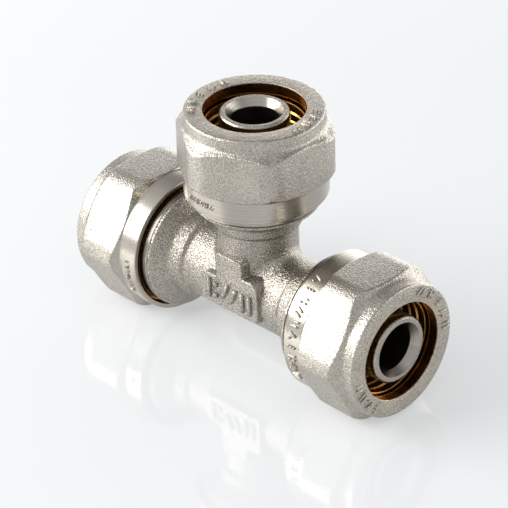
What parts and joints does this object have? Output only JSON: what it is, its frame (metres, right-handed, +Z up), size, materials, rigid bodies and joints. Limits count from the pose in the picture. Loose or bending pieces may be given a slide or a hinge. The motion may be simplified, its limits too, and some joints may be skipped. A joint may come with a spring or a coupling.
{
  "type": "compression fitting",
  "caption": "Equal tee that joins three lengths of multilayer water pipe; each coupling nut squeezes a split ring onto the pipe over a sealed insert.",
  "frame": {"origin": "on the table plane, straight below the point where the run and branch axes cross", "axes": "+X along the run, +Z up along the branch, +Y away from the side that carries the raised pad"},
  "size_m": [0.064, 0.0264, 0.044],
  "materials": {
    "nickel_plate": "nickel-plated forging, fine sandblasted grain, turned collars",
    "raw_brass": "bare machined brass",
    "epdm_rubber": "smooth black EPDM",
    "washer_plastic": "dark insulating plastic"
  },
  "bodies": {
    "tee": {"tee_body": "nickel_plate", "left_inner_o_ring": "epdm_rubber", "left_outer_o_ring": "epdm_rubber", "right_inner_o_ring": "epdm_rubber", "right_outer_o_ring": "epdm_rubber", "branch_inner_o_ring": "epdm_rubber", "branch_outer_o_ring": "epdm_rubber", "left_insulating_washer": "washer_plastic", "right_insulating_washer": "washer_plastic", "branch_insulating_washer": "washer_plastic"},
    "left_ring": {"left_split_ring": "raw_brass"},
    "right_ring": {"right_split_ring": "raw_brass"},
    "branch_ring": {"branch_split_ring": "raw_brass"},
    "left_coupling": {"left_nut": "nickel_plate"},
    "right_coupling": {"right_nut": "nickel_plate"},
    "branch_coupling": {"branch_nut": "nickel_plate"}
  },
  "joints": [
    {"name": "left_ring_slide", "type": "slide", "parent": "tee", "child": "left_ring", "axis": [-1, 0, 0], "range_m": [0, 0.01512]},
    {"name": "right_ring_slide", "type": "slide", "parent": "tee", "child": "right_ring", "axis": [1, 0, 0], "range_m": [0, 0.01512]},
    {"name": "branch_ring_slide", "type": "slide", "parent": "tee", "child": "branch_ring", "axis": [0, 0, 1], "range_m": [0, 0.01512]},
    {"name": "left_nut_turn", "type": "hinge", "parent": "left_ring", "child": "left_coupling", "pos_m": [0, 0, 0.012], "axis": [-1, 0, 0], "range_deg": [0, 3000]},
    {"name": "right_nut_turn", "type": "hinge", "parent": "right_ring", "child": "right_coupling", "pos_m": [0, 0, 0.012], "axis": [1, 0, 0], "range_deg": [0, 3000]},
    {"name": "branch_nut_turn", "type": "hinge", "parent": "branch_ring", "child": "branch_coupling", "pos_m": [0, 0, 0.012], "axis": [0, 0, 1], "range_deg": [0, 3000]}
  ],
  "couplings": [
    {"joint": "left_ring_slide", "follows": "left_nut_turn", "m_per_rad": 0.00028871},
    {"joint": "right_ring_slide", "follows": "right_nut_turn", "m_per_rad": 0.00028871},
    {"joint": "branch_ring_slide", "follows": "branch_nut_turn", "m_per_rad": 0.00028871}
  ]
}
